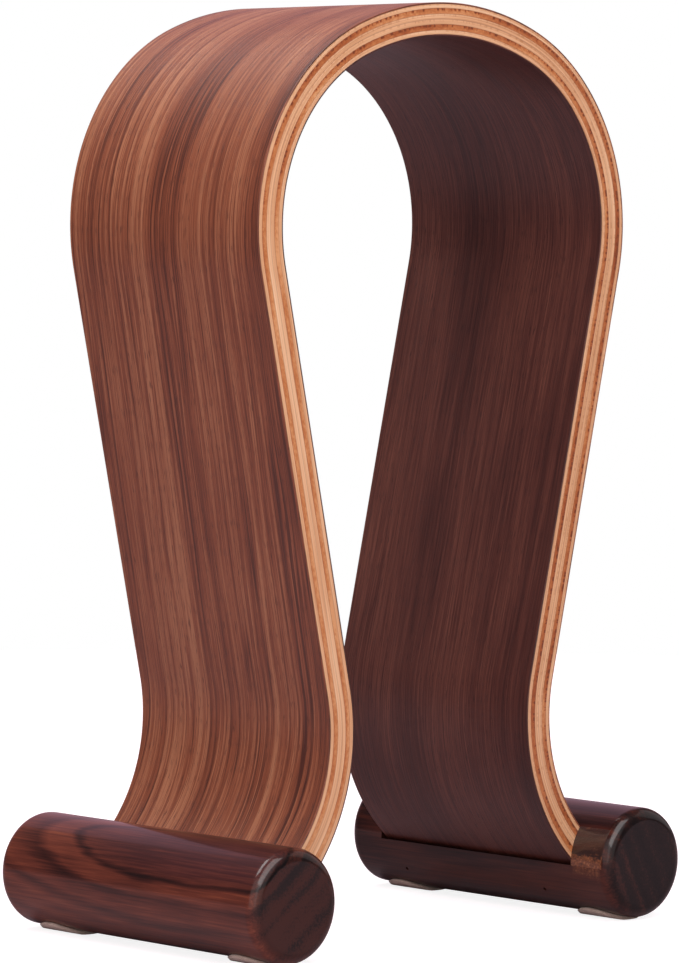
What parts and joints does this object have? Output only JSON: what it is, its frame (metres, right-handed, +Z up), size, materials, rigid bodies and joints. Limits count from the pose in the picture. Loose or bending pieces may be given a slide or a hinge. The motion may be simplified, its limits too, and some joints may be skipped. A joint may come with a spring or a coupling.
{
  "type": "headphone stand",
  "caption": "Headphone stand of bent plywood, a round arch on two flared legs, with walnut face veneers, pale layered edges and two turned walnut feet on anti-slip pads.",
  "frame": {"origin": "on the table, midway between the four pads", "axes": "+Z up, +X from the left foot to the right foot, +Y along the feet, away from the front edge of the band"},
  "size_m": [0.1778, 0.112, 0.275],
  "materials": {
    "walnut_veneer": "sliced walnut veneer, satin clear lacquer",
    "pale_ply": "sanded edge of birch plies, clear lacquer",
    "cross_ply": "sanded end grain of the cross plies, clear lacquer",
    "lacquered_walnut": "turned solid walnut, gloss lacquer",
    "wood_filler": "brown wood filler, pared flush and lacquered over",
    "steel_brad": "bright drawn steel wire",
    "felt_pad": "pressed wool felt, self-adhesive"
  },
  "bodies": {
    "root": {"outer_walnut_veneer": "walnut_veneer", "outer_long_ply": "pale_ply", "outer_cross_ply": "cross_ply", "outer_core_ply": "pale_ply", "inner_core_ply": "pale_ply", "inner_cross_ply": "cross_ply", "inner_long_ply": "pale_ply", "inner_walnut_veneer": "walnut_veneer", "right_foot": "lacquered_walnut", "left_foot": "lacquered_walnut", "right_slot_filler": "wood_filler", "left_slot_filler": "wood_filler", "right_front_brad": "steel_brad", "right_rear_brad": "steel_brad", "left_front_brad": "steel_brad", "left_rear_brad": "steel_brad", "right_front_pad": "felt_pad", "right_rear_pad": "felt_pad", "left_front_pad": "felt_pad", "left_rear_pad": "felt_pad"}
  },
  "joints": []
}
